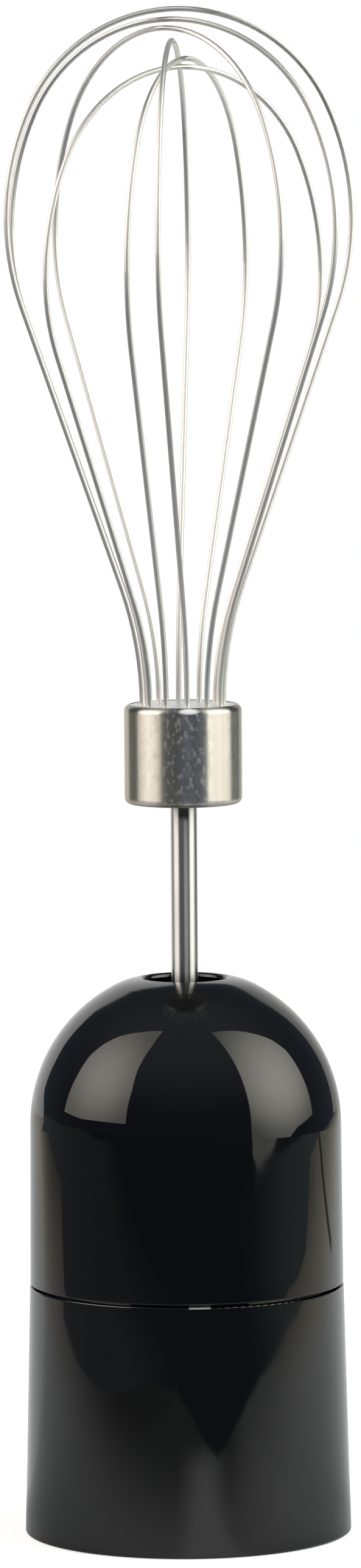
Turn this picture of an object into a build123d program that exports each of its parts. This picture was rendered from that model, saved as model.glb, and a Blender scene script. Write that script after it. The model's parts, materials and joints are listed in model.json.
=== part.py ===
from build123d import *
import math
import os

# A balloon whisk on a reduction gearbox, standing on the open foot that plugs onto a hand blender's motor.
# Millimetres, +Z up along the shaft, origin at the centre of the foot rim.

# Clearances
FIT = 0.02            # radial gap of a pressed or glued seat
RUNNING = 0.04        # radial gap of a turning or sliding fit
LOOSE = 0.1           # gap between shells and dropped-in pieces
PLAY = 0.2            # axial room beside a turning piece

# Outer shells
SKIRT_HEIGHT = 37.6
SKIRT_FLARE = 0.95    # how much wider the foot is than the top of the skirt
FOOT_WALL = 2.7
FOOT_ROUND = 0.3
MOUTH_BEVEL = 0.6
SOCKET_DEPTH = 20.0   # straight wall that takes the motor's nose
SEAM_GAP = 0.35
SEAM_STEP = 0.05      # the skirt stands proud of the dome by this much at the seam
SEAM_ROUND = 0.2
DOME_RADIUS = 23.5
DOME_DRAFT = 0.2
DOME_STRAIGHT = 24.15  # from the seam up to the centre of the dome's sphere
DOME_WALL = 2.5
WELL_GAP = 1.7        # between the output hub and the wall of the well in the dome's top
WELL_ROUND = 0.6
LIP_TURN = 27         # degrees of slope where the dome's sphere passes into the flatter lip round the well
LIP_DROP = 0.45       # the lip's edge lies this far under that sphere
TONGUE_WALL = 1.0
TONGUE_HEIGHT = 3.2
GASKET_THICKNESS = 0.6
DECK_DROP = 1.1       # the skirt's inner deck lies this far under its top edge
DECK_THICKNESS = 2.5
DECK_LIP = 8.0        # how far the deck reaches inwards
LUG_COUNT = 3
LUG_RISE = 2.0        # the twist-lock lugs sit this far above the socket's ledge
LUG_HEIGHT = 3.0
LUG_REACH = 1.5
LUG_WIDTH = 7.0

# Screws through the deck, the gear cover and the ring gear into the dome
SCREW_COUNT = 3
SCREW_RADIUS = 1.1
SCREW_HEAD_RADIUS = 2.0
SCREW_HEAD_HEIGHT = 1.5
SCREW_GRIP = 7.0
SCREW_RECESS = 0.7
RECESS_WIDTH = 0.5
RECESS_LENGTH = 2.4
EAR_WEB = 0.5
BOSS_OVERLAP = 0.3    # how deep a screw boss runs into the dome's wall

# Planetary gears
SUN_TEETH = 12
PLANET_TEETH = 18
PLANETS = 3
GEAR_WIDTH = 7.0
RING_WALL = 1.6
PRESSURE_ANGLE = math.radians(25)
ADDENDUM = 0.7        # of the module
DEDENDUM = 1.1        # of the module
BACKLASH = 0.12
COVER_THICKNESS = 2.5
COVER_BOSS_LENGTH = 4.0
COVER_BOSS_WALL = 2.1
PIN_RADIUS = 1.5
CARRIER_THICKNESS = 3.0
CARRIER_RIM = 1.2     # carrier plate outside the planet pins
WASHER_THICKNESS = 0.6
WASHER_WIDTH = 2.6

# Output hub and its bearing
HUB_WALL = 2.5
HUB_RECESS = 4.0      # the hub's end lies this far under the rim of the well
HUB_BEVEL = 0.4
BUSH_WALL = 1.5
BUSH_FLANGE = 1.2
BUSH_FLANGE_WIDTH = 1.6
NECK_WALL = 2.4
SHOULDER_HEIGHT = 2.0
SHOULDER_GAP = 0.3
CLIP_THICKNESS = 0.8
CLIP_WIDTH = 1.3
CLIP_BITE = 0.4
CLIP_OPENING = 60     # degrees
SEAL_WIDTH = 1.6
SEAL_HEIGHT = 2.5
SEAL_NOTCH = 0.8
SEAL_DROP = 2.0       # the seal's top lies this far under the hub's end
GRIP_RING_WIRE = 0.45
GRIP_RING_DROP = 3.0
GRIP_GROOVE_DEPTH = 0.25

# Input shaft and the coupling that the motor drives
INPUT_RADIUS = 1.5
INPUT_BUSH_WALL = 2.0
INPUT_BUSH_FLANGE = 0.8
COUPLING_RADIUS = 6.0
COUPLING_LENGTH = 10.2
COUPLING_SOCKET_RADIUS = 3.6
COUPLING_SOCKET_DEPTH = 7.0
SPLINE_COUNT = 6
SPLINE_WIDTH = 1.6
SPLINE_DEPTH = 0.8

# Whisk
SHAFT_RADIUS = 2.0
SHAFT_EXPOSED = 26.3   # between the dome's rim and the collar
SHAFT_GRIP = 9.0       # length held in the collar's core
SHAFT_BEVEL = 0.4
FLAT_DEPTH = 0.4
FLAT_LENGTH = 10.0
SHAFT_IN_HUB = 20.0
COLLAR_RADIUS = 8.85
COLLAR_HEIGHT = 15.0
COLLAR_WALL = 0.8
COLLAR_ROUND = 1.0
CORE_DROP = 0.1
WIRE_RADIUS = 0.4
WIRE_DEPTH = 8.0       # length of each wire end in the core
WIRE_INSET = 1.9       # wire ends to the core's edge
FIRST_HOLE = 6         # degrees from +X to the first wire hole in the core
WHISK_HEIGHT = 104.4   # collar to the top of the outermost loop
WHISK_HALF_WIDTH = 25.9
WHISK_NARROWING = 0.27  # each loop is this much narrower than the one outside it
CROWN_DEPTH = 31.1     # a loop's top down to its widest place
CROWN_TURN = 65        # degrees of the tighter bend on each side of a loop's top
LEG_BOW = 0.26         # 0 is a straight leg, 1 is one that is all bends
SIDE_SHARE = 0.43      # the upper bend's share of a leg's two bend radii
# The loops from the outermost in: which way each crown faces, its shift to the side, and how far it is lower
CROWN_FACINGS = (5, -19, -48, -95, -111, -147)
CROWN_SHIFTS = (0, -1.05, -1.95, -0.95, 1.15, 0.75)
CROWN_DROPS = (0, 1.55, 2.85, 4.75, 7.4, 8.65)

# Shell radii, from the dome outwards and inwards
dome_slope = math.atan(DOME_DRAFT / DOME_STRAIGHT)
dome_base_radius = DOME_RADIUS / math.cos(dome_slope) + DOME_DRAFT
seam_radius = dome_base_radius + SEAM_STEP
foot_radius = seam_radius + SKIRT_FLARE
socket_radius = foot_radius - FOOT_WALL
cavity_radius = DOME_RADIUS - DOME_WALL
tongue_inner = cavity_radius + LOOSE
tongue_outer = tongue_inner + TONGUE_WALL
rabbet_radius = tongue_outer + LOOSE
cover_radius = tongue_inner - LOOSE - FIT
chamber_radius = cover_radius
screw_hole_radius = SCREW_RADIUS + LOOSE
ear_radius = SCREW_HEAD_RADIUS + LOOSE
screw_circle = cover_radius - ear_radius - LOOSE
boss_radius = cavity_radius - screw_circle + BOSS_OVERLAP

# Gear sizes, from the room inside the screws
ring_teeth = SUN_TEETH + 2 * PLANET_TEETH
ring_outer = screw_circle - screw_hole_radius - EAR_WEB
ring_root = ring_outer - RING_WALL
module = ring_root / (ring_teeth / 2 + DEDENDUM)
planet_orbit = module * (SUN_TEETH + PLANET_TEETH) / 2

# Radii round the shaft
hub_bore = SHAFT_RADIUS + RUNNING
hub_radius = SHAFT_RADIUS + HUB_WALL
well_radius = hub_radius + WELL_GAP
lip_radius = DOME_RADIUS * math.sin(math.radians(LIP_TURN))
bush_radius = hub_radius + RUNNING + BUSH_WALL
bush_flange_radius = bush_radius + BUSH_FLANGE_WIDTH
neck_bore = bush_radius + FIT
neck_radius = neck_bore + NECK_WALL
clip_inner = hub_radius - CLIP_BITE + FIT
clip_outer = clip_inner + CLIP_WIDTH
seal_radius = hub_radius + SEAL_WIDTH
clip_room_radius = clip_outer + SHOULDER_GAP
input_bush_radius = INPUT_RADIUS + RUNNING + INPUT_BUSH_WALL
core_radius = COLLAR_RADIUS - COLLAR_WALL - FIT
wire_circle = core_radius - WIRE_INSET
wire_count = len(CROWN_FACINGS)

# Heights, upwards from the foot
deck_top = SKIRT_HEIGHT - DECK_DROP
deck_bottom = deck_top - DECK_THICKNESS
tongue_top = SKIRT_HEIGHT + TONGUE_HEIGHT
dome_bottom = SKIRT_HEIGHT + SEAM_GAP
gasket_top = tongue_top + GASKET_THICKNESS
cover_top = deck_top + COVER_THICKNESS
cover_boss_bottom = deck_top - COVER_BOSS_LENGTH
gear_bottom = cover_top + INPUT_BUSH_FLANGE + PLAY
gear_top = gear_bottom + GEAR_WIDTH
carrier_bottom = gear_top + PLAY
carrier_top = carrier_bottom + CARRIER_THICKNESS
washer_top = carrier_top + WASHER_THICKNESS
bush_bottom = washer_top + LOOSE
neck_bottom = bush_bottom + BUSH_FLANGE
dome_centre = dome_bottom + DOME_STRAIGHT
lip_height = dome_centre + DOME_RADIUS * math.cos(math.radians(LIP_TURN))
dome_rim = dome_centre + math.sqrt(DOME_RADIUS**2 - well_radius**2) - LIP_DROP
collar_bottom = dome_rim + SHAFT_EXPOSED
collar_top = collar_bottom + COLLAR_HEIGHT
core_bottom = collar_bottom + COLLAR_WALL
core_top = collar_top - CORE_DROP

# Heights, downwards from the dome's rim
hub_top = dome_rim - HUB_RECESS
seal_top = hub_top - SEAL_DROP
seal_bottom = seal_top - SEAL_HEIGHT
clip_top = seal_bottom - PLAY
clip_bottom = clip_top - CLIP_THICKNESS
shoulder_top = clip_bottom - PLAY
shoulder_bottom = shoulder_top - SHOULDER_HEIGHT
shaft_bottom = hub_top - SHAFT_IN_HUB
bore_bottom = shaft_bottom - LOOSE
flat_top = shaft_bottom + FLAT_LENGTH
grip_ring_height = hub_top - GRIP_RING_DROP
coupling_top = cover_boss_bottom - CLIP_THICKNESS - 2 * PLAY
coupling_bottom = coupling_top - COUPLING_LENGTH
input_clip_bottom = cover_boss_bottom - PLAY - CLIP_THICKNESS

os.makedirs("parts", exist_ok=True)


def finish(piece, name):
    """Names a finished piece and writes it."""
    piece.label = name
    export_step(piece, f"parts/{name}.step")


def annulus(outer, inner):
    """Draws a flat ring in the sketch that is open."""
    Circle(outer)
    Circle(inner, mode=Mode.SUBTRACT)


def gear_tooth(teeth, thickness, low, high):
    """One tooth along +X, or one space of the ring gear. Each flank is an arc through three involute points."""
    pitch = module * teeth / 2
    base = pitch * math.cos(PRESSURE_ANGLE)

    def flank(radius, side):
        pressure = math.acos(min(1, base / radius))
        widening = math.tan(PRESSURE_ANGLE) - PRESSURE_ANGLE - math.tan(pressure) + pressure
        angle = side * (thickness / (2 * pitch) + widening)
        return (radius * math.cos(angle), radius * math.sin(angle))

    with BuildSketch() as tooth:
        with BuildLine():
            upper = ThreePointArc(flank(low, 1), flank(pitch, 1), flank(high, 1))
            lower = ThreePointArc(flank(low, -1), flank(pitch, -1), flank(high, -1))
            Line(upper @ 1, lower @ 1)
            Line(upper @ 0, lower @ 0)
        make_face()
    return tooth.sketch


def gear_outline(teeth, start_angle):
    """Draws an outside gear in the sketch that is open, with a tooth at the start angle."""
    pitch = module * teeth / 2
    root = pitch - DEDENDUM * module
    tooth = gear_tooth(teeth, math.pi * module / 2 - BACKLASH, root - LOOSE, pitch + ADDENDUM * module)
    Circle(root)
    with PolarLocations(0, teeth, start_angle):
        add(tooth)


def snap_ring(name, inner, bottom):
    """An open spring ring round a shaft, in the groove whose floor it grips."""
    with BuildPart() as clip:
        with BuildSketch(Plane.XY.offset(bottom)):
            annulus(inner + CLIP_WIDTH, inner)
            with BuildLine():
                reach = inner + 2 * CLIP_WIDTH
                side = reach * math.tan(math.radians(CLIP_OPENING / 2))
                Polyline((0, 0), (reach, side), (reach, -side), close=True)
            make_face(mode=Mode.SUBTRACT)
        extrude(amount=CLIP_THICKNESS)
    finish(clip.part, name)


def planet_plane(index, height):
    """The plane of one planet gear, turned as it is after rolling round the sun to its place in mesh."""
    mesh_step = 2 * math.pi / (SUN_TEETH + ring_teeth)
    place = mesh_step * round(index * (SUN_TEETH + ring_teeth) / PLANETS)
    turn = place * (1 + SUN_TEETH / PLANET_TEETH)
    centre = Vector(planet_orbit * math.cos(place), planet_orbit * math.sin(place), height)
    return Plane(origin=centre, x_dir=(math.cos(turn), math.sin(turn), 0), z_dir=(0, 0, 1))


def upright_plane(origin, across):
    """An upright plane through the origin, with its X axis across and its Y axis up."""
    return Plane(origin=origin, x_dir=across, z_dir=across.cross(Vector(0, 0, 1)))


def wire_leg(foot, top):
    """The line of a wire from its end in the core up to a loop's widest place, upright at both ends."""
    across = Vector(top.X - foot.X, top.Y - foot.Y, 0)
    width, height = across.length, top.Z - foot.Z
    slope = (1 + LEG_BOW) * math.atan(width / height)
    bend_radii = (height - width / math.tan(slope)) / math.tan(slope / 2)
    run_length = (width - bend_radii * (1 - math.cos(slope))) / math.sin(slope)
    with BuildLine(upright_plane(foot, across)) as leg:
        end = Line((0, -WIRE_DEPTH), (0, 0))
        flare = JernArc(end @ 1, end % 1, (1 - SIDE_SHARE) * bend_radii, -math.degrees(slope))
        run = PolarLine(flare @ 1, run_length, direction=flare % 1)
        JernArc(run @ 1, run % 1, SIDE_SHARE * bend_radii, math.degrees(slope))
    return leg.line


def wire_crown(centre, across, half_width):
    """The line of a loop over its top, from its widest place on one side to that on the other."""
    sine, cosine = math.sin(math.radians(CROWN_TURN)), math.cos(math.radians(CROWN_TURN))
    crown_radius = (half_width * cosine - CROWN_DEPTH * (1 - sine)) / (sine + cosine - 1)
    shoulder_radius = (CROWN_DEPTH * sine - half_width * (1 - cosine)) / (sine + cosine - 1)
    with BuildLine(upright_plane(centre, across)) as crown:
        rise = JernArc((-half_width, 0), (0, 1), shoulder_radius, CROWN_TURN - 90)
        over = JernArc(rise @ 1, rise % 1, crown_radius, -2 * CROWN_TURN)
        JernArc(over @ 1, over % 1, shoulder_radius, CROWN_TURN - 90)
    return crown.line


# Skirt: the lower shell, with the motor socket below its deck and a tongue that goes into the dome
with BuildPart() as skirt:
    with BuildSketch(Plane.XZ):
        Polygon(
            (socket_radius, 0),
            (foot_radius, 0),
            (seam_radius, SKIRT_HEIGHT),
            (tongue_outer, SKIRT_HEIGHT),
            (tongue_outer, tongue_top),
            (tongue_inner, tongue_top),
            (tongue_inner, deck_top),
            (cover_radius - DECK_LIP, deck_top),
            (cover_radius - DECK_LIP, deck_bottom),
            (chamber_radius, deck_bottom),
            (chamber_radius, SOCKET_DEPTH),
            (socket_radius, SOCKET_DEPTH),
            align=None,
        )
    revolve(axis=Axis.Z)
    rim = skirt.edges().filter_by(GeomType.CIRCLE).group_by(Axis.Z)[0].sort_by(SortBy.RADIUS)
    fillet(rim[-1], FOOT_ROUND)
    chamfer(rim[0], MOUTH_BEVEL)
    seam_edges = skirt.edges().filter_by(GeomType.CIRCLE).filter_by_position(
        Axis.Z, SKIRT_HEIGHT - FIT, SKIRT_HEIGHT + FIT)
    fillet(seam_edges.sort_by(SortBy.RADIUS)[-1], SEAM_ROUND)
    with BuildSketch(Plane.XY.offset(deck_bottom)):
        with PolarLocations(screw_circle, SCREW_COUNT):
            Circle(screw_hole_radius)
    extrude(amount=DECK_THICKNESS, mode=Mode.SUBTRACT)
    with BuildSketch(Plane.XY.offset(SOCKET_DEPTH + LUG_RISE)):
        with PolarLocations(chamber_radius - LUG_REACH, LUG_COUNT, 180 / LUG_COUNT):
            Rectangle(2 * LUG_REACH, LUG_WIDTH, align=(Align.MIN, Align.CENTER))
        Circle(chamber_radius + LOOSE, mode=Mode.INTERSECT)
    extrude(amount=LUG_HEIGHT)
finish(skirt.part, "skirt_housing")

# Dome: the upper shell, with the neck that holds the output bush and the bosses for the screws
with BuildPart() as dome:
    with BuildSketch(Plane.XZ):
        with BuildLine():
            inner_rise = math.sqrt(cavity_radius**2 - neck_radius**2)
            middle = math.radians(45)
            # The draft wall meets the sphere where the two have the same slope
            wall_top = (DOME_RADIUS * math.cos(dome_slope), dome_centre + DOME_RADIUS * math.sin(dome_slope))
            Polyline(
                (cavity_radius, dome_centre),
                (cavity_radius, gasket_top),
                (rabbet_radius, gasket_top),
                (rabbet_radius, dome_bottom),
                (dome_base_radius, dome_bottom),
                wall_top,
            )
            shoulder = ThreePointArc(
                wall_top,
                (DOME_RADIUS * math.cos(middle), dome_centre + DOME_RADIUS * math.sin(middle)),
                (lip_radius, lip_height),
            )
            TangentArc(shoulder @ 1, (well_radius, dome_rim), tangent=shoulder % 1)
            Polyline(
                (well_radius, dome_rim),
                (well_radius, seal_top),
                (seal_radius + FIT, seal_top),
                (seal_radius + FIT, seal_bottom),
                (clip_room_radius, seal_bottom),
                (clip_room_radius, shoulder_top),
                (hub_radius + SHOULDER_GAP, shoulder_top),
                (hub_radius + SHOULDER_GAP, shoulder_bottom),
                (neck_bore, shoulder_bottom),
                (neck_bore, neck_bottom),
                (neck_radius, neck_bottom),
                (neck_radius, dome_centre + inner_rise),
            )
            ThreePointArc(
                (neck_radius, dome_centre + inner_rise),
                (cavity_radius * math.cos(middle), dome_centre + cavity_radius * math.sin(middle)),
                (cavity_radius, dome_centre),
            )
        make_face()
    revolve(axis=Axis.Z)
    dome_circles = dome.edges().filter_by(GeomType.CIRCLE)
    fillet(dome_circles.filter_by_position(Axis.Z, dome_rim - FIT, dome_rim + FIT), WELL_ROUND)
    lower_edges = dome.edges().filter_by(GeomType.CIRCLE).group_by(Axis.Z)[0]
    fillet(lower_edges.sort_by(SortBy.RADIUS)[-1], SEAM_ROUND)
    with BuildSketch(Plane.XY.offset(gear_top)):
        with PolarLocations(screw_circle, SCREW_COUNT):
            Circle(boss_radius)
    extrude(amount=dome_centre - gear_top)
    with BuildSketch(Plane.XY.offset(gear_top)):
        with PolarLocations(screw_circle, SCREW_COUNT):
            Circle(SCREW_RADIUS + FIT)
    extrude(amount=SCREW_GRIP + LOOSE, mode=Mode.SUBTRACT)
finish(dome.part, "dome_housing")

# Gasket at the seam, between the tongue and the dome
with BuildPart() as gasket:
    with BuildSketch(Plane.XY.offset(tongue_top)):
        annulus(tongue_outer, tongue_inner)
    extrude(amount=GASKET_THICKNESS)
finish(gasket.part, "housing_gasket")

# Gear cover: closes the gearbox from below and carries the input bush
with BuildPart() as cover:
    with BuildSketch(Plane.XY.offset(deck_top)):
        Circle(cover_radius)
    extrude(amount=COVER_THICKNESS)
    with BuildSketch(Plane.XY.offset(cover_boss_bottom)):
        Circle(input_bush_radius + COVER_BOSS_WALL)
    extrude(amount=COVER_BOSS_LENGTH)
    with BuildSketch(Plane.XY.offset(cover_boss_bottom)):
        Circle(input_bush_radius + FIT)
        with PolarLocations(screw_circle, SCREW_COUNT):
            Circle(screw_hole_radius)
    extrude(amount=COVER_BOSS_LENGTH + COVER_THICKNESS, mode=Mode.SUBTRACT)
finish(cover.part, "gear_cover")

# Ring gear, held still by the screws through its ears
with BuildPart() as ring:
    ring_tip = module * (ring_teeth / 2 - ADDENDUM)
    ring_start = 180 / ring_teeth if PLANET_TEETH % 2 == 0 else 0
    ring_space = gear_tooth(ring_teeth, math.pi * module / 2 + BACKLASH, ring_tip - LOOSE, ring_root)
    with BuildSketch(Plane.XY.offset(cover_top)):
        Circle(ring_outer)
        with PolarLocations(screw_circle, SCREW_COUNT):
            Circle(ear_radius)
        with PolarLocations(screw_circle, SCREW_COUNT):
            Circle(screw_hole_radius, mode=Mode.SUBTRACT)
        Circle(ring_tip, mode=Mode.SUBTRACT)
        with PolarLocations(0, ring_teeth, ring_start):
            add(ring_space, mode=Mode.SUBTRACT)
    extrude(amount=gear_top - cover_top)
finish(ring.part, "ring_gear")

# Housing screws, from the deck's underside up into the dome's bosses
with BuildPart() as screws:
    with BuildSketch(Plane.XY.offset(deck_bottom)):
        with PolarLocations(screw_circle, SCREW_COUNT):
            Circle(SCREW_RADIUS)
    extrude(amount=gear_top + SCREW_GRIP - deck_bottom)
    with BuildSketch(Plane.XY.offset(deck_bottom - SCREW_HEAD_HEIGHT)):
        with PolarLocations(screw_circle, SCREW_COUNT):
            Circle(SCREW_HEAD_RADIUS)
    extrude(amount=SCREW_HEAD_HEIGHT)
    with BuildSketch(Plane.XY.offset(deck_bottom - SCREW_HEAD_HEIGHT)):
        with PolarLocations(screw_circle, SCREW_COUNT):
            Rectangle(RECESS_LENGTH, RECESS_WIDTH)
            Rectangle(RECESS_WIDTH, RECESS_LENGTH)
    extrude(amount=SCREW_RECESS, mode=Mode.SUBTRACT)
finish(screws.part, "housing_screws")

# Output bush: a flanged bearing pressed into the dome's neck
with BuildPart() as output_bush:
    with BuildSketch(Plane.XY.offset(bush_bottom)):
        annulus(bush_flange_radius, hub_radius + RUNNING)
    extrude(amount=BUSH_FLANGE)
    with BuildSketch(Plane.XY.offset(neck_bottom)):
        annulus(bush_radius, hub_radius + RUNNING)
    extrude(amount=shoulder_bottom - neck_bottom)
finish(output_bush.part, "output_bush")

# Shaft seal: a lip ring in the floor of the well
with BuildPart() as seal:
    with BuildSketch(Plane.XZ):
        seal_inner = hub_radius + RUNNING
        Polygon(
            (seal_inner, seal_bottom),
            (seal_radius, seal_bottom),
            (seal_radius, seal_top),
            (seal_inner + 2 * SEAL_WIDTH / 3, seal_top),
            (seal_inner + SEAL_WIDTH / 2, seal_top - SEAL_NOTCH),
            (seal_inner + SEAL_WIDTH / 3, seal_top),
            (seal_inner, seal_top),
            align=None,
        )
    revolve(axis=Axis.Z)
finish(seal.part, "shaft_seal")

# Input bush: a flanged bearing in the gear cover's boss
with BuildPart() as input_bush:
    with BuildSketch(Plane.XY.offset(cover_boss_bottom)):
        annulus(input_bush_radius, INPUT_RADIUS + RUNNING)
    extrude(amount=cover_top - cover_boss_bottom)
    with BuildSketch(Plane.XY.offset(cover_top)):
        annulus(input_bush_radius + COVER_BOSS_WALL, INPUT_RADIUS + RUNNING)
    extrude(amount=INPUT_BUSH_FLANGE)
finish(input_bush.part, "input_bush")

# Input shaft, from the coupling up through the sun gear
with BuildPart() as input_shaft:
    input_bottom = coupling_bottom + COUPLING_SOCKET_DEPTH + LOOSE
    with BuildSketch(Plane.XY.offset(input_bottom)):
        Circle(INPUT_RADIUS)
    extrude(amount=gear_top - input_bottom)
    with BuildSketch(Plane.XY.offset(input_clip_bottom - FIT)):
        annulus(INPUT_RADIUS, INPUT_RADIUS - CLIP_BITE)
    extrude(amount=CLIP_THICKNESS + 2 * FIT, mode=Mode.SUBTRACT)
finish(input_shaft.part, "input_shaft")

with BuildPart() as sun:
    with BuildSketch(Plane.XY.offset(gear_bottom)):
        gear_outline(SUN_TEETH, 0)
        Circle(INPUT_RADIUS + FIT, mode=Mode.SUBTRACT)
    extrude(amount=GEAR_WIDTH)
finish(sun.part, "sun_gear")

snap_ring("input_clip", INPUT_RADIUS - CLIP_BITE + FIT, input_clip_bottom)

# Drive coupling: the splined socket that the motor's end goes into
with BuildPart() as coupling:
    with BuildSketch(Plane.XY.offset(coupling_bottom)):
        Circle(COUPLING_RADIUS)
    extrude(amount=COUPLING_LENGTH)
    with BuildSketch(Plane.XY.offset(coupling_bottom)):
        Circle(COUPLING_SOCKET_RADIUS)
        with PolarLocations(COUPLING_SOCKET_RADIUS, SPLINE_COUNT):
            Rectangle(2 * SPLINE_DEPTH, SPLINE_WIDTH)
    extrude(amount=COUPLING_SOCKET_DEPTH, mode=Mode.SUBTRACT)
    with BuildSketch(Plane.XY.offset(coupling_bottom + COUPLING_SOCKET_DEPTH)):
        Circle(INPUT_RADIUS + FIT)
    extrude(amount=COUPLING_LENGTH - COUPLING_SOCKET_DEPTH, mode=Mode.SUBTRACT)
finish(coupling.part, "drive_coupling")

# Planet gears, each with a space facing the sun
for index in range(PLANETS):
    with BuildPart() as planet:
        with BuildSketch(planet_plane(index, gear_bottom)):
            gear_outline(PLANET_TEETH, 180 + 180 / PLANET_TEETH)
            Circle(PIN_RADIUS + RUNNING, mode=Mode.SUBTRACT)
        extrude(amount=GEAR_WIDTH)
    finish(planet.part, f"planet_gear_{index + 1}")

with BuildPart() as pins:
    for index in range(PLANETS):
        with BuildSketch(planet_plane(index, gear_bottom)):
            Circle(PIN_RADIUS)
    extrude(amount=carrier_top - gear_bottom)
finish(pins.part, "planet_pins")

# Planet carrier, one piece with the output hub that the whisk's shaft plugs into
with BuildPart() as carrier:
    with BuildSketch(Plane.XY.offset(carrier_bottom)):
        Circle(planet_orbit + PIN_RADIUS + CARRIER_RIM)
    extrude(amount=CARRIER_THICKNESS)
    with BuildSketch(Plane.XY.offset(carrier_top)):
        Circle(hub_radius)
    extrude(amount=hub_top - carrier_top)
    chamfer(carrier.edges().filter_by(GeomType.CIRCLE).sort_by(Axis.Z)[-1], HUB_BEVEL)
    for index in range(PLANETS):
        with BuildSketch(planet_plane(index, carrier_bottom)):
            Circle(PIN_RADIUS + FIT)
        extrude(amount=CARRIER_THICKNESS, mode=Mode.SUBTRACT)
    with BuildSketch(Plane.XY.offset(bore_bottom)):
        Circle(hub_bore)
        flat_width = 2 * (SHAFT_RADIUS - FLAT_DEPTH + RUNNING)
        Rectangle(2 * hub_bore, flat_width, mode=Mode.INTERSECT)
    extrude(amount=hub_top - bore_bottom, mode=Mode.SUBTRACT)
    with BuildSketch(Plane.XY.offset(flat_top)):
        Circle(hub_bore)
    extrude(amount=hub_top - flat_top, mode=Mode.SUBTRACT)
    with BuildSketch(Plane.XY.offset(grip_ring_height - GRIP_RING_WIRE - LOOSE)):
        annulus(hub_bore + 2 * GRIP_RING_WIRE + LOOSE, SHAFT_RADIUS)
    extrude(amount=2 * (GRIP_RING_WIRE + LOOSE), mode=Mode.SUBTRACT)
    with BuildSketch(Plane.XY.offset(clip_bottom - FIT)):
        annulus(hub_radius + LOOSE, hub_radius - CLIP_BITE)
    extrude(amount=CLIP_THICKNESS + 2 * FIT, mode=Mode.SUBTRACT)
finish(carrier.part, "planet_carrier")

with BuildPart() as washer:
    with BuildSketch(Plane.XY.offset(carrier_top)):
        annulus(hub_radius + FIT + WASHER_WIDTH, hub_radius + FIT)
    extrude(amount=WASHER_THICKNESS)
finish(washer.part, "thrust_washer")

snap_ring("hub_clip", clip_inner, clip_bottom)

# Grip ring: an elastic ring in the hub that holds the whisk's shaft
with BuildPart() as grip_ring:
    with BuildSketch(Plane.XZ):
        with Locations((hub_bore + GRIP_RING_WIRE, grip_ring_height)):
            Circle(GRIP_RING_WIRE)
    revolve(axis=Axis.Z)
finish(grip_ring.part, "grip_ring")

# Whisk shaft, with two flats that the hub drives and a groove for the grip ring
with BuildPart() as shaft:
    shaft_top = core_bottom + SHAFT_GRIP
    with BuildSketch(Plane.XY.offset(shaft_bottom)):
        Circle(SHAFT_RADIUS)
    extrude(amount=shaft_top - shaft_bottom)
    chamfer(shaft.edges().group_by(Axis.Z)[0], SHAFT_BEVEL)
    with BuildSketch(Plane.XY.offset(shaft_bottom)):
        with GridLocations(0, 2 * SHAFT_RADIUS, 1, 2):
            Rectangle(2 * SHAFT_RADIUS, 2 * FLAT_DEPTH)
    extrude(amount=FLAT_LENGTH + LOOSE, mode=Mode.SUBTRACT)
    with BuildSketch(Plane.XZ):
        Polygon(
            (SHAFT_RADIUS - GRIP_GROOVE_DEPTH, grip_ring_height),
            (SHAFT_RADIUS, grip_ring_height - GRIP_RING_WIRE),
            (SHAFT_RADIUS, grip_ring_height + GRIP_RING_WIRE),
            align=None,
        )
    revolve(axis=Axis.Z, mode=Mode.SUBTRACT)
finish(shaft.part, "whisk_shaft")

# Collar: a turned steel cup that holds the core and the wire ends
with BuildPart() as collar:
    with BuildSketch(Plane.XY.offset(collar_bottom)):
        Circle(COLLAR_RADIUS)
    extrude(amount=COLLAR_HEIGHT)
    fillet(collar.edges().filter_by(GeomType.CIRCLE), COLLAR_ROUND)
    with BuildSketch(Plane.XY.offset(core_bottom)):
        Circle(COLLAR_RADIUS - COLLAR_WALL)
    extrude(amount=COLLAR_HEIGHT, mode=Mode.SUBTRACT)
    with BuildSketch(Plane.XY.offset(collar_bottom)):
        Circle(SHAFT_RADIUS + FIT)
    extrude(amount=COLLAR_WALL, mode=Mode.SUBTRACT)
finish(collar.part, "whisk_collar")

# Core: the plug in the collar, with a hole for the shaft and one for each wire end
with BuildPart() as core:
    with BuildSketch(Plane.XY.offset(core_bottom)):
        Circle(core_radius)
    extrude(amount=core_top - core_bottom)
    with BuildSketch(Plane.XY.offset(core_bottom)):
        Circle(SHAFT_RADIUS + FIT)
    extrude(amount=SHAFT_GRIP + FIT, mode=Mode.SUBTRACT)
    with BuildSketch(Plane.XY.offset(collar_top - WIRE_DEPTH - FIT)):
        with PolarLocations(wire_circle, 2 * wire_count, FIRST_HOLE):
            Circle(WIRE_RADIUS + FIT)
    extrude(amount=WIRE_DEPTH, mode=Mode.SUBTRACT)
finish(core.part, "collar_core")

# Wire loops, each from one hole over its crown to the hole opposite
for index in range(wire_count):
    half_width = WHISK_HALF_WIDTH - index * WHISK_NARROWING
    facing = math.radians(CROWN_FACINGS[index])
    across = Vector(math.cos(facing), math.sin(facing), 0)
    widest_height = collar_top + WHISK_HEIGHT - WIRE_RADIUS - CROWN_DROPS[index] - CROWN_DEPTH
    centre = Vector(CROWN_SHIFTS[index], 0, widest_height)
    hole = math.radians(FIRST_HOLE - 180 * index / wire_count)
    foot = Vector(math.cos(hole), math.sin(hole), 0) * wire_circle
    core_axis = Vector(0, 0, collar_top)
    with BuildPart() as wire:
        with BuildLine() as path:
            add(wire_leg(core_axis - foot, centre - across * half_width))
            add(wire_crown(centre, across, half_width))
            add(wire_leg(core_axis + foot, centre + across * half_width))
        route = path.wires()[0]
        with BuildSketch(Plane(origin=route @ 0, z_dir=route % 0)):
            Circle(WIRE_RADIUS)
        sweep(path=route)
    finish(wire.part, f"whisk_wire_{index + 1}")
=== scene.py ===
"""Dresses the whisk attachment: a finish for every piece, a white sweep, two soft boxes and the camera."""

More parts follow.
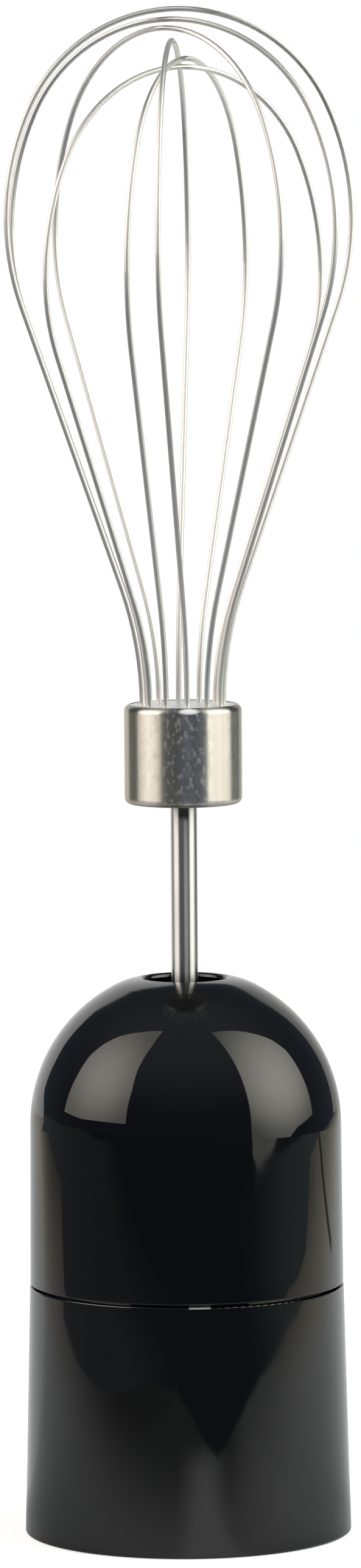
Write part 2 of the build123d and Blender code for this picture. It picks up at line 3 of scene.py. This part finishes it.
import json
import math

import bpy
from mathutils import Matrix, Vector


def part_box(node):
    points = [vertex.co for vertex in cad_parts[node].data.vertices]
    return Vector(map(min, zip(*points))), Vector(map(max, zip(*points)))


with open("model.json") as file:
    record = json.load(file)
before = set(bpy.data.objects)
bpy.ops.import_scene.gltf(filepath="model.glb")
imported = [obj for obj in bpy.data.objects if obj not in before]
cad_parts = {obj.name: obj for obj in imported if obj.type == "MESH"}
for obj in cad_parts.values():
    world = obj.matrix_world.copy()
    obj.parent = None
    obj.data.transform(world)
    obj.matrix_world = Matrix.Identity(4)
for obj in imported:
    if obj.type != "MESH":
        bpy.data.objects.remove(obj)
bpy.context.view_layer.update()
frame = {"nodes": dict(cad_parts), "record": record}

# Camera: where it stands, what it looks at, its roll in radians, and its lens on a sensor's long side
EYE = Vector((0.00097, -1.2, 0.2257))
AIM = Vector((-0.00043, 0.0, 0.1135))
ROLL = -0.0071
LENS_MM = 183.93
SENSOR_MM = 36.0

# Soft boxes: flat faces square to a line from the dome's middle, with an outline in directions from there.
# A direction is an azimuth, 0 towards the camera and growing to the right, and an elevation, in degrees.
# Edge is the strength away from the lamp, lamp is what is added at the hot place, and reach is how far from
# there the lamp's light goes, in metres.
DOME_MIDDLE = Vector((0, 0, 0.062))
BOX_DISTANCE = 0.9
SOFT_BOXES = {
    "left": {
        "facing": (-78.6, 39.0),
        "outline": (
            (-45, 5), (-83, 3.5), (-102, 4), (-101, 22), (-102, 34), (-100, 43), (-95, 53), (-82, 64),
            (-55, 74), (-47.5, 62), (-46.5, 42), (-44.5, 28),
        ),
        "hot": (-72, 31),
        "colour": (1.0, 0.93, 0.84, 1),
        "edge": 1.55,
        "lamp": 2.75,
        "reach": 0.68,
    },
    "right": {
        "facing": (78.6, 39.0),
        "outline": (
            (50, -7.5), (78, -6.5), (92, -2), (108, 1), (109, 16), (111, 32), (108, 41), (99, 53), (84, 64),
            (57, 71.5), (52, 52), (50, 30), (49, 0),
        ),
        "hot": (77, 26),
        "colour": (1.0, 0.985, 0.88, 1),
        "edge": 1.0,
        "lamp": 3.95,
        "reach": 0.84,
    },
}

# Sweep: a white sheet under the part, on a dark table, and a white board behind, as outlines in metres
SHEET = (
    (-0.42, 0.10), (-0.28, 0.04), (-0.12, -0.22), (-0.03, -0.235), (0.01, -0.20), (0.047, -0.135),
    (0.061, -0.140), (0.097, -0.154), (0.141, -0.159), (0.188, -0.151), (0.243, -0.110), (0.285, -0.066),
    (0.33, 0.03), (0.45, 0.10), (0.45, 0.70), (-0.80, 0.70), (-0.70, 0.56), (-0.50, 0.43), (-0.42, 0.36),
)
BOARD = (
    (-0.84, 0.0), (0.56, 0.0), (0.50, 0.25), (0.475, 0.37), (0.44, 0.50), (0.385, 0.585), (0.28, 0.575),
    (0.12, 0.47), (0.0, 0.46), (-0.05, 0.60), (-0.12, 0.68), (-0.30, 0.69), (-0.40, 0.64), (-0.44, 0.52),
    (-0.52, 0.47), (-0.58, 0.36), (-0.64, 0.28), (-0.655, 0.13), (-0.74, 0.09), (-0.80, 0.06),
)
TABLE = (
    (-1.6, -1.6), (0.34, -1.6), (0.387, -0.294), (0.472, -0.186), (0.517, -0.058), (0.53, 0.1), (0.53, 1.6),
    (-1.6, 1.6),
)

# How far the board stands behind the part, and how far the sheet and the table lie below it, in metres
BOARD_DISTANCE = 0.70
SHEET_DROP = 0.0001
TABLE_DROP = 0.002

# Slopes of lines on the sheet: between its halves, along its painted shaded front edges, and of its painted
# light streak
HALVES_SLOPE = 0.6
RIGHT_EDGE_SLOPE = 0.739
LEFT_EDGE_SLOPE = 0.61
LIGHT_STREAK_SLOPE = 0.18

# How far behind the part the sheet's painted shadow line lies, in metres
SHADOW_LINE = 0.204

# Colours of the sweep and of the dim room, as the part mirrors them
WHITE = (1, 1, 1, 1)
BLACK = (0, 0, 0, 1)
SHEET_TINT = (0.92, 0.96, 1.0, 1)
SHEET_FAR_TINT = (1.0, 0.96, 0.84, 1)
BOARD_DULL = (0.55, 0.55, 0.53, 1)
TABLE_DARK = (0.064, 0.079, 0.112, 1)
TABLE_LEFT = (0.165, 0.170, 0.180, 1)
TABLE_RIGHT = (0.235, 0.290, 0.290, 1)
ROOM_LOW = (0.082, 0.098, 0.125, 1)
ROOM_HIGH = (0.270, 0.300, 0.345, 1)

# The sheet as the camera sees it: its colour, and how much light of its own is added
PAPER = (0.82, 0.82, 0.81, 1)
SHEET_LIFT = 0.55

# Heights on the part that the finishes follow, in metres
DOME_BOTTOM, DOME_TOP = (corner.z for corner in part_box("dome_housing"))
COLLAR_BOTTOM, COLLAR_TOP = (corner.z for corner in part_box("whisk_collar"))
WHISK_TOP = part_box("whisk_wire_1")[1].z

# What is on the front alone starts between these places from back to front, in metres
FRONT_FADE = (0.0, -0.001)

# Dome: it turns dull between these heights
DULL_TOP = (DOME_TOP - 0.0067, DOME_TOP - 0.0027)

# Skirt: the gap between it and the dome, its top edge, how far the painted glint on that edge reaches down,
# where the glint starts and ends from left to right, and how wide its ends fade
SEAM_GAP = 0.00035
SKIRT_LIP = DOME_BOTTOM - SEAM_GAP
GLINT_DEPTH = 0.00025
GLINT_LEFT = 0.0002
GLINT_RIGHT = 0.0036
GLINT_FADE = 0.0002

# Shaft: where the painted highlight line and the painted warm reflection run from left to right, and the
# heights between which the painted shade under the collar and the ring of painted shade in the well fade
HIGHLIGHT_LINE = 0.0003
WARM_REFLECTION = -0.0003
COLLAR_SHADE_FADE = (COLLAR_BOTTOM - 0.0028, COLLAR_BOTTOM - 0.0016)
WELL_SHADE_TOP_FADE = (DOME_TOP + 0.0016, DOME_TOP - 0.0012)
WELL_SHADE_BOTTOM_FADE = (DOME_TOP - 0.0036, DOME_TOP - 0.0024)

# Collar: the heights between which painted shade at its foot, its flat underside and painted shade at its lip
# fade, where its stripe of painted shade lies from left to right, and the middle and half the size of the
# painted glint on its front
FOOT_SHADE_FADE = (COLLAR_BOTTOM + 0.0009, COLLAR_BOTTOM + 0.0001)
UNDERSIDE_FADE = (COLLAR_BOTTOM + 0.00025, COLLAR_BOTTOM + 0.0001)
LIP_SHADE_FADE = (COLLAR_TOP - 0.0011, COLLAR_TOP - 0.0001)
SHADE_STRIPE = 0.0054
SPOT_ACROSS = 0.0009
SPOT_HEIGHT = COLLAR_TOP - 0.0005
SPOT_HALF_WIDTH = 0.00167
SPOT_HALF_HEIGHT = 0.000455

# Core: turning rings on its face, in radians a metre
TURNING_RINGS = 26000

# Wires: the film on their legs fades between these heights
FILM_FADE = (WHISK_TOP - 0.014, WHISK_TOP - 0.026)


class Shade:
    """A socket in a node tree that takes part in sums: each sum of values adds one Math node."""

    def __init__(self, tree, socket=None):
        self.tree = tree
        self.socket = socket

    def node(self, kind, settings=None, inputs=None, output=0):
        """Adds a node, with its settings first and then its sockets' values or links, and gives an output."""
        made = self.tree.nodes.new("ShaderNode" + kind)
        for name, value in (settings or {}).items():
            setattr(made, name, value)
        for name, value in (inputs or {}).items():
            if isinstance(value, Shade):
                self.tree.links.new(value.socket, made.inputs[name])
            else:
                made.inputs[name].default_value = value
        return Shade(self.tree, made.outputs[output]) if made.outputs else None

    def sum(self, operation, *values):
        """Adds a Math node that works on these values."""
        return self.node("Math", {"operation": operation}, dict(enumerate(values)))

    def __add__(self, other):
        return self.sum("ADD", self, other)

    def __radd__(self, other):
        return self.sum("ADD", other, self)

    def __sub__(self, other):
        return self.sum("SUBTRACT", self, other)

    def __rsub__(self, other):
        return self.sum("SUBTRACT", other, self)

    def __mul__(self, other):
        return self.sum("MULTIPLY", self, other)

    def __rmul__(self, other):
        return self.sum("MULTIPLY", other, self)

    def __truediv__(self, other):
        return self.sum("DIVIDE", self, other)

    def __rtruediv__(self, other):
        return self.sum("DIVIDE", other, self)

    def __pow__(self, other):
        return self.sum("POWER", self, other)

    def __rpow__(self, other):
        return self.sum("POWER", other, self)

    def __abs__(self):
        return self.sum("ABSOLUTE", self)


def noise(place, waves, detail=2.0):
    """Noise from 0 to 1. Waves is its count a metre, one number or one for each axis."""
    if isinstance(waves, tuple):
        place = place.node("Mapping", None, {"Vector": place, "Scale": waves})
        waves = 1.0
    return place.node("TexNoise", None, {"Vector": place, "Scale": waves, "Detail": detail})


def step(value, low, high):
    """A smooth step from 0 at low to 1 at high, which may be the lesser of the two."""
    return value.node("MapRange", {"interpolation_type": "SMOOTHSTEP"}, {"Value": value, 1: low, 2: high})


def stripe(value, middle, edge, core):
    """1 as far as core from the middle, and a smooth fall to 0 as far as edge from it."""
    return step(abs(value - middle), edge, core)


def mix(share, first, second):
    """A colour between two others."""
    return share.node("Mix", {"data_type": "RGBA"}, {0: share, 6: first, 7: second}, output=2)


def axes(place, names):
    """The named coordinates of a place, as values."""
    return [place.node("SeparateXYZ", None, {"Vector": place}, output=name) for name in names]


def new_finish(name):
    """An empty material, and the Object coordinates in its tree."""
    material = bpy.data.materials.new(name)
    material.use_nodes = True
    material.node_tree.nodes.clear()
    return material, Shade(material.node_tree).node("TexCoord", output="Object")


def close_finish(material, relief, depth, sockets):
    """Ends a finish: relief from 0 to 1 stands that many metres high on a surface with these sockets."""
    normal = relief.node("Bump", None, {"Height": relief, "Distance": depth})
    skin = relief.node("BsdfPrincipled", None, {**sockets, "Normal": normal})
    relief.node("OutputMaterial", None, {"Surface": skin})
    return material


def close_light(material, place, sockets):
    """Ends a finish that only gives light."""
    light = place.node("Emission", None, sockets)
    place.node("OutputMaterial", None, {"Surface": light})
    return material


# Plastics and rubber


def gloss_black():
    """The dome: deep gloss black, with faint moulding ripple, a breath of haze, and a duller top."""
    material, place = new_finish("gloss_black")
    [z] = axes(place, "Z")
    ripple = noise(place, 140, detail=1.0)
    haze = step(noise(place, 60, detail=4.0), 0.45, 0.75)
    colour = mix(haze, (0.0010, 0.0012, 0.0016, 1), (0.0018, 0.0020, 0.0024, 1))
    rough = 0.022 + 0.02 * haze + 0.09 * step(z, *DULL_TOP)
    return close_finish(material, ripple, 5e-6, {"Base Color": colour, "Roughness": rough, "IOR": 1.51})


def satin_black():
    """The skirt: a softer black with a fine grain, and a painted glint on the front of its top edge."""
    material, place = new_finish("satin_black")
    x, y, z = axes(place, "XYZ")
    grain = noise(place, 5200, detail=1.0)
    wave = noise(place, 110, detail=1.0)
    smear = step(noise(place, (70, 70, 22), detail=4.0), 0.42, 0.72)
    # Painted glint: a bright, rougher dash on the front of the top edge, standing in for a highlight
    along = step(x, GLINT_LEFT, GLINT_LEFT + GLINT_FADE) * step(x, GLINT_RIGHT, GLINT_RIGHT - GLINT_FADE)
    edge = step(z, SKIRT_LIP - GLINT_DEPTH, SKIRT_LIP - 0.7 * GLINT_DEPTH)
    painted_glint = along * edge * step(y, *FRONT_FADE)
    colour = mix(painted_glint, (0.0014, 0.0016, 0.0019, 1), (0.35, 0.35, 0.34, 1))
    rough = 0.03 + 0.03 * smear + 0.3 * painted_glint
    relief = 0.05 * grain + wave
    return close_finish(material, relief, 4e-6, {"Base Color": colour, "Roughness": rough, "IOR": 1.55})


def moulded_rubber():
    """Seals and the grip ring: matt black, with a bloom and fine mould grain."""
    material, place = new_finish("moulded_rubber")
    grain = noise(place, 4200, detail=3.0)
    bloom = step(noise(place, 260, detail=4.0), 0.4, 0.7)
    colour = mix(bloom, (0.012, 0.012, 0.012, 1), (0.030, 0.030, 0.031, 1))
    rough = 0.55 + 0.2 * bloom
    return close_finish(material, grain, 1.2e-5, {"Base Color": colour, "Roughness": rough})


def natural_acetal():
    """Gears: milky white, faintly mottled, with a film of grease."""
    material, place = new_finish("natural_acetal")
    mottle = noise(place, 300, detail=3.0)
    grease = step(noise(place, 420, detail=3.0), 0.5, 0.65)
    colour = mix(mottle, (0.70, 0.69, 0.63, 1), (0.84, 0.83, 0.78, 1))
    rough = 0.42 - 0.24 * grease
    return close_finish(material, mottle, 6e-6, {"Base Color": colour, "Roughness": rough})


def moulded_grey():
    """The gear cover: dark grey with a spark-eroded grain."""
    material, place = new_finish("moulded_grey")
    grain = noise(place, 2600, detail=2.0)
    flow = step(noise(place, (120, 40, 120), detail=3.0), 0.4, 0.7)
    colour = mix(flow, (0.038, 0.039, 0.043, 1), (0.055, 0.055, 0.060, 1))
    rough = 0.45 + 0.12 * flow
    return close_finish(material, grain, 1.5e-5, {"Base Color": colour, "Roughness": rough})


def glass_filled():
    """The carrier and the coupling: dark grey nylon with pale fibre streaks in its skin."""
    material, place = new_finish("glass_filled")
    fibre = step(noise(place, (900, 5200, 2400), detail=1.0), 0.60, 0.74)
    cloud = noise(place, 220, detail=3.0)
    colour = mix(fibre, (0.030, 0.029, 0.028, 1), (0.085, 0.080, 0.074, 1))
    rough = 0.40 + 0.2 * cloud
    return close_finish(material, fibre + cloud, 8e-6, {"Base Color": colour, "Roughness": rough})


# Metals

# Turning marks run round a shaft, so they smear what it mirrors upright; the edge of such steel mirrors less
UPRIGHT_SMEAR = {"Anisotropic": 1.0, "Anisotropic Rotation": 0.25, "Specular Tint": (0.72, 0.72, 0.70, 1)}


def zinc_plate():
    """Screws: bright zinc with a bluish cast and dull patches."""
    material, place = new_finish("zinc_plate")
    patch = step(noise(place, 900, detail=3.0), 0.4, 0.7)
    colour = mix(patch, (0.52, 0.54, 0.57, 1), (0.40, 0.40, 0.39, 1))
    rough = 0.24 + 0.2 * patch
    return close_finish(material, patch, 4e-6, {"Base Color": colour, "Roughness": rough, "Metallic": 1.0})


def ground_steel():
    """Pins, washer and input shaft: ground all round, with an oily stain."""
    material, place = new_finish("ground_steel")
    lines = noise(place, (500, 500, 16000), detail=2.0)
    stain = step(noise(place, 260, detail=4.0), 0.5, 0.75)
    colour = mix(stain, (0.55, 0.55, 0.56, 1), (0.42, 0.40, 0.37, 1))
    rough = 0.18 + 0.12 * lines + 0.1 * stain
    return close_finish(material, lines, 1.5e-6, {"Base Color": colour, "Roughness": rough, "Metallic": 1.0})


def spring_steel():
    """Clips: dark tempered steel, brown to blue."""
    material, place = new_finish("spring_steel")
    temper = noise(place, 700, detail=2.0)
    colour = mix(temper, (0.15, 0.115, 0.085, 1), (0.13, 0.14, 0.17, 1))
    rough = 0.28 + 0.2 * temper
    return close_finish(material, temper, 3e-6, {"Base Color": colour, "Roughness": rough, "Metallic": 1.0})


def sintered_bronze():
    """Bushes: pressed powder bronze, dark with oil in its pores."""
    material, place = new_finish("sintered_bronze")
    pores = step(noise(place, 5200, detail=2.0), 0.52, 0.64)
    oil = noise(place, 350, detail=3.0)
    colour = mix(pores, (0.52, 0.35, 0.18, 1), (0.17, 0.11, 0.06, 1))
    sockets = {"Base Color": colour, "Roughness": 0.36 + 0.25 * oil, "Metallic": 1.0}
    return close_finish(material, 1 - pores, 1e-5, sockets)


def polished_shaft():
    """The whisk's shaft: polished stainless with faint drawing lines. Painted light and shade: a highlight
    down one side and in a thin line, a warm reflection down the middle, and shade under the collar and in a
    ring at the mouth of the well."""
    material, place = new_finish("polished_shaft")
    x, y, z = axes(place, "XYZ")
    drawn = noise(place, (3200, 3200, 40), detail=2.0)
    cloud = noise(place, 180, detail=3.0)
    front = step(y, *FRONT_FADE)
    # Painted shade: a dark patch down the front just under the collar
    collar_shade = stripe(x, 0.0, 0.0009, 0.0006) * step(z, *COLLAR_SHADE_FADE) * front
    # Painted shade: a dark ring where the shaft goes into the well
    well_shade = step(z, *WELL_SHADE_TOP_FADE) * step(z, *WELL_SHADE_BOTTOM_FADE)
    # Painted highlight: a thin line down the front is made less metallic so that it shows paler
    line = stripe(x, HIGHLIGHT_LINE, 0.00045, 0.0001) * front * (1 - collar_shade)
    bright = mix(drawn, (0.88, 0.87, 0.86, 1), (0.96, 0.95, 0.94, 1))
    plain = mix(drawn, (0.56, 0.555, 0.545, 1), (0.62, 0.615, 0.605, 1))
    # Painted highlight: one side of the shaft gets a brighter steel colour than the other
    steel = mix(step(x, -0.0010, 0.0006), bright, plain)
    # Painted reflection: a warm tint down the middle
    steel = mix(stripe(x, WARM_REFLECTION, 0.0007, 0.0003), steel, (0.73, 0.67, 0.59, 1))
    steel = mix(0.75 * well_shade, steel, (0.10, 0.095, 0.09, 1))
    colour = mix(collar_shade, steel, (0.17, 0.155, 0.115, 1))
    rough = 0.22 + 0.05 * cloud
    sockets = {"Base Color": colour, "Roughness": rough, "Metallic": 1 - 0.6 * line, **UPRIGHT_SMEAR}
    return close_finish(material, drawn, 1e-6, sockets)


def scuffed_collar():
    """The collar: stainless, smeared upright by its turning marks, scuffed, and brown in two stripes. Painted
    light and
    shade: a warm highlight on two sides, shade below, in one stripe and round the lip, and a pale glint on
    the lip."""
    material, place = new_finish("scuffed_collar")
    x, y, z = axes(place, "XYZ")
    scuff = step(noise(place, (1300, 1300, 190), detail=3.0), 0.50, 0.75)
    speck = step(noise(place, (1300, 1300, 800), detail=3.0), 0.36, 0.62)
    cloud = noise(place, 160, detail=3.0)
    dent = noise(place, 210, detail=2.0)
    # Painted highlight: the two sides get a warmer, brighter steel colour
    lit_sides = step(abs(x), 0.003, 0.0055)
    scratch = step(noise(place, (1500, 1500, 950), detail=3.0), 0.52, 0.64) * (1 - lit_sides)
    brown = step(x, 0.0, -0.001) * step(x, -0.0042, -0.0032) + step(x, -0.0066, -0.0074)
    # Painted glint: a pale, non-metallic spot on the front of the lip
    across = (x - SPOT_ACROSS) / SPOT_HALF_WIDTH
    upright = (z - SPOT_HEIGHT) / SPOT_HALF_HEIGHT
    painted_glint_spot = step(across ** 2 + upright ** 2, 1.3, 0.2) * step(y, -0.002, -0.005)
    bright = mix(speck, (0.54, 0.54, 0.52, 1), (0.68, 0.66, 0.62, 1))
    side_highlight = mix(speck, (0.68, 0.645, 0.585, 1), (0.75, 0.71, 0.645, 1))
    steel = mix(lit_sides, bright, side_highlight)
    # Painted shade: a darker stripe down one side
    steel = mix(stripe(x, SHADE_STRIPE, 0.0017, 0.0004), steel, (0.45, 0.42, 0.395, 1))
    steel = mix(brown, steel, (0.55, 0.52, 0.43, 1))
    # Painted shade: darker round the lip and at the foot
    steel = mix(step(z, *LIP_SHADE_FADE), steel, (0.37, 0.36, 0.335, 1))
    steel = mix(step(z, *FOOT_SHADE_FADE), steel, (0.34, 0.33, 0.315, 1))
    colour = mix(painted_glint_spot, steel, WHITE)
    flat = step(z, *UNDERSIDE_FADE)
    rough = 0.26 + 0.04 * scuff + 0.03 * cloud + 0.3 * flat
    metal = (1 - painted_glint_spot) * (1 - 0.34 * scratch) * (1 - 0.8 * flat)
    relief = dent + 0.06 * scuff + 0.05 * speck
    sockets = {"Base Color": colour, "Roughness": rough, "Metallic": metal, **UPRIGHT_SMEAR}
    return close_finish(material, relief, 6e-6, sockets)


def turned_core():
    """The collar's core: plain turned aluminium, with rings on its face and a dull bloom."""
    material, place = new_finish("turned_core")
    x, y = axes(place, "XY")
    radius = (x ** 2 + y ** 2) ** 0.5
    rings = place.sum("SINE", TURNING_RINGS * radius)
    bloom = noise(place, 420, detail=3.0)
    colour = mix(bloom, (0.86, 0.86, 0.85, 1), (0.72, 0.72, 0.71, 1))
    rough = 0.28 + 0.18 * bloom
    return close_finish(material, rings, 1e-6, {"Base Color": colour, "Roughness": rough, "Metallic": 1.0})


def drawn_wire():
    """The whisk's wires: stainless, smeared round the wire by drawing lines, with a pale film on the legs."""
    material, place = new_finish("drawn_wire")
    [z] = axes(place, "Z")
    patch = noise(place, 300, detail=3.0)
    grain = noise(place, 4200, detail=1.0)
    film = step(z, *FILM_FADE)
    bright = mix(patch, (0.86, 0.85, 0.83, 1), (0.78, 0.77, 0.75, 1))
    colour = mix(film, (0.68, 0.67, 0.65, 1), bright)
    rough = 0.42 + 0.06 * patch
    metal = 0.95 - 0.18 * film
    sockets = {"Base Color": colour, "Roughness": rough, "Metallic": metal, "Anisotropic": 0.8}
    return close_finish(material, grain, 8e-7, sockets)


FINISHES = {
    "dome_plastic": gloss_black,
    "skirt_plastic": satin_black,
    "seal_rubber": moulded_rubber,
    "gear_plastic": natural_acetal,
    "inner_plastic": moulded_grey,
    "hub_plastic": glass_filled,
    "screw_steel": zinc_plate,
    "pin_steel": ground_steel,
    "clip_steel": spring_steel,
    "bush_bronze": sintered_bronze,
    "shaft_steel": polished_shaft,
    "collar_steel": scuffed_collar,
    "core_metal": turned_core,
    "wire_steel": drawn_wire,
}


def dress_nodes():
    """Gives every CAD node the finish of its slot in the record."""
    made = {slot: build() for slot, build in FINISHES.items()}
    for part in frame["record"]["subparts"]:
        for held in frame["nodes"][part["node"]].material_slots:
            held.material = made[part["material_slot"]]


# Studio


def way(azimuth, elevation):
    """The unit vector in that direction, in degrees."""
    turn = math.radians(azimuth)
    rise = math.radians(elevation)
    return Vector((math.sin(turn) * math.cos(rise), -math.cos(turn) * math.cos(rise), math.sin(rise)))


def box_point(direction, facing):
    """Where a direction from the dome's middle meets the soft box that faces it from another."""
    out = way(*direction)
    return DOME_MIDDLE + out * BOX_DISTANCE / out.dot(way(*facing))


def card(name, outline, material, seen=False):
    """A flat card with that outline, which the camera looks through unless it is to be seen."""
    mesh = bpy.data.meshes.new(name)
    mesh.from_pydata([tuple(point) for point in outline], [], [range(len(outline))])
    mesh.materials.append(material)
    made = bpy.data.objects.new(name, mesh)
    bpy.context.scene.collection.objects.link(made)
    made.visible_camera = seen


def glow(name, box):
    """A soft box's face: light that is brightest round its lamp and fades towards the edges."""
    material, place = new_finish(name)
    hot = box_point(box["hot"], box["facing"])
    away = place.node("VectorMath", {"operation": "DISTANCE"}, {0: place, 1: hot}, output="Value")
    strongest = box["edge"] + box["lamp"]
    dim = [share * box["edge"] / strongest for share in box["colour"]]
    colour = mix(step(away, box["reach"], 0.0), dim, box["colour"])
    return close_light(material, place, {"Color": colour, "Strength": strongest})


def board_white():
    """The board behind: white light of its own, with painted shade towards its right end."""
    material, place = new_finish("board_white")
    [x] = axes(place, "X")
    return close_light(material, place, {"Color": mix(step(x, -0.1, 0.5), WHITE, BOARD_DULL)})


def table_grey():
    """The table, as the part mirrors it: it gives off painted light of its own, dark in front and paler at
    the sides, near the soft boxes.
    """
    material, place = new_finish("table_grey")
    x, y = axes(place, "XY")
    left_side = step(x, 0.0, -0.16) * step(y, -0.36, -0.2)
    right_side = step(x, 0.18, 0.34) * step(y, -0.34, -0.05)
    tone = mix(left_side, mix(right_side, TABLE_DARK, TABLE_RIGHT), TABLE_LEFT)
    return close_light(material, place, {"Color": tone})


def right_half(x, y):
    """The sheet's painted light on the right: fading forwards and outwards, with a shaded edge and a shadow
    line.
    """
    depth = 0.42 + 0.50 * step(y, -0.17, 0.0) + 0.10 * step(y, 0.08, 0.2)
    inwards = 0.55 + 0.45 * step(x, 0.44, 0.20)
    edge = step(x, 0.18, 0.33) * step(y - RIGHT_EDGE_SLOPE * x, -0.127, -0.267)
    shadow_line = stripe(y, SHADOW_LINE, 0.015, 0.004) * step(x, 0.225, 0.255)
    return depth * inwards * (1 - 0.32 * edge) * (1 - 0.8 * shadow_line)


def left_half(x, y):
    """The sheet's painted light on the left: fading forwards and outwards, with a shaded edge and a streak of
    light.
    """
    aback = step(y / (0 - x), 0.45, 1.2) * step(y, 0.0, 0.1)
    depth = 0.19 + 0.60 * step(y, -0.16, 0.02) + 0.9 * aback
    inwards = 1 - (1 - step(x, -0.58, -0.16)) * (1 - step(y, 0.37, 0.44))
    edge = step(x + LEFT_EDGE_SLOPE * y, -0.13, -0.256) * step(y, 0.15, 0.0)
    aside = abs(x + LIGHT_STREAK_SLOPE * y) / (0 - y)
    light_streak = 0.6 * step(aside, 0.34, 0.0) * step(y, -0.17, -0.12) * step(y, 0.0, -0.03)
    return depth * inwards * (1 - 0.26 * edge) + light_streak


def sheet_white():
    """The sheet on the table. The camera sees it white but for the part's shadow; mirrored, it fades in
    painted shade.
    """
    material, place = new_finish("sheet_white")
    x, y = axes(place, "XY")
    right = step(x + HALVES_SLOPE * y, -0.025, 0.045)
    # Painted light and shade on the sheet, seen only in what the part mirrors
    bright = right * right_half(x, y) + (1 - right) * left_half(x, y)
    tint = mix(step(abs(x), 0.2, 0.3), SHEET_TINT, SHEET_FAR_TINT)
    seen = place.node("LightPath", output="Is Camera Ray")
    paper = {
        "Base Color": mix(seen, mix(bright, BLACK, tint), PAPER),
        "Roughness": 1.0,
        "Specular IOR Level": 0.0,
        "Emission Color": mix(seen, BLACK, WHITE),
        "Emission Strength": SHEET_LIFT,
    }
    skin = place.node("BsdfPrincipled", None, paper)
    place.node("OutputMaterial", None, {"Surface": skin})
    return material


def add_sweep():
    """The table, the white sheet on it under the part, and the white board behind."""
    card("table", [(x, y, -TABLE_DROP) for x, y in TABLE], table_grey())
    card("sheet", [(x, y, -SHEET_DROP) for x, y in SHEET], sheet_white(), seen=True)
    card("board", [(x, BOARD_DISTANCE, z) for x, z in BOARD], board_white())


def add_lights():
    """A soft box on each side."""
    for side, box in SOFT_BOXES.items():
        outline = [box_point(corner, box["facing"]) for corner in box["outline"]]
        card(f"{side}_box", outline, glow(f"{side}_glow", box))


def add_room():
    """A dim room, brighter above and in front, which the camera sees as white."""
    world = bpy.data.worlds.new("room")
    bpy.context.scene.world = world
    world.use_nodes = True
    world.node_tree.nodes.clear()
    start = Shade(world.node_tree)
    y, z = axes(start.node("TexCoord", output="Generated"), "YZ")
    dim = mix(step(z, 0.1, 0.95) * step(y, 0.7, -0.1), ROOM_LOW, ROOM_HIGH)
    seen = start.node("LightPath", output="Is Camera Ray")
    light = start.node("Background", None, {"Color": mix(seen, dim, WHITE)})
    start.node("OutputWorld", None, {"Surface": light})


def add_camera():
    """The camera at the photograph's place, tilted by its small roll."""
    back = (EYE - AIM).normalized()
    level = Vector((0, 0, 1)).cross(back).normalized()
    rise = back.cross(level)
    right = math.cos(ROLL) * level + math.sin(ROLL) * rise
    up = math.cos(ROLL) * rise - math.sin(ROLL) * level
    data = bpy.data.cameras.new("camera")
    data.lens = LENS_MM
    data.sensor_width = SENSOR_MM
    made = bpy.data.objects.new("camera", data)
    bpy.context.scene.collection.objects.link(made)
    made.matrix_world = Matrix.Translation(EYE) @ Matrix((right, up, back)).transposed().to_4x4()
    bpy.context.scene.camera = made


dress_nodes()
add_sweep()
add_lights()
add_room()
add_camera()
bpy.context.scene.view_settings.view_transform = "Standard"
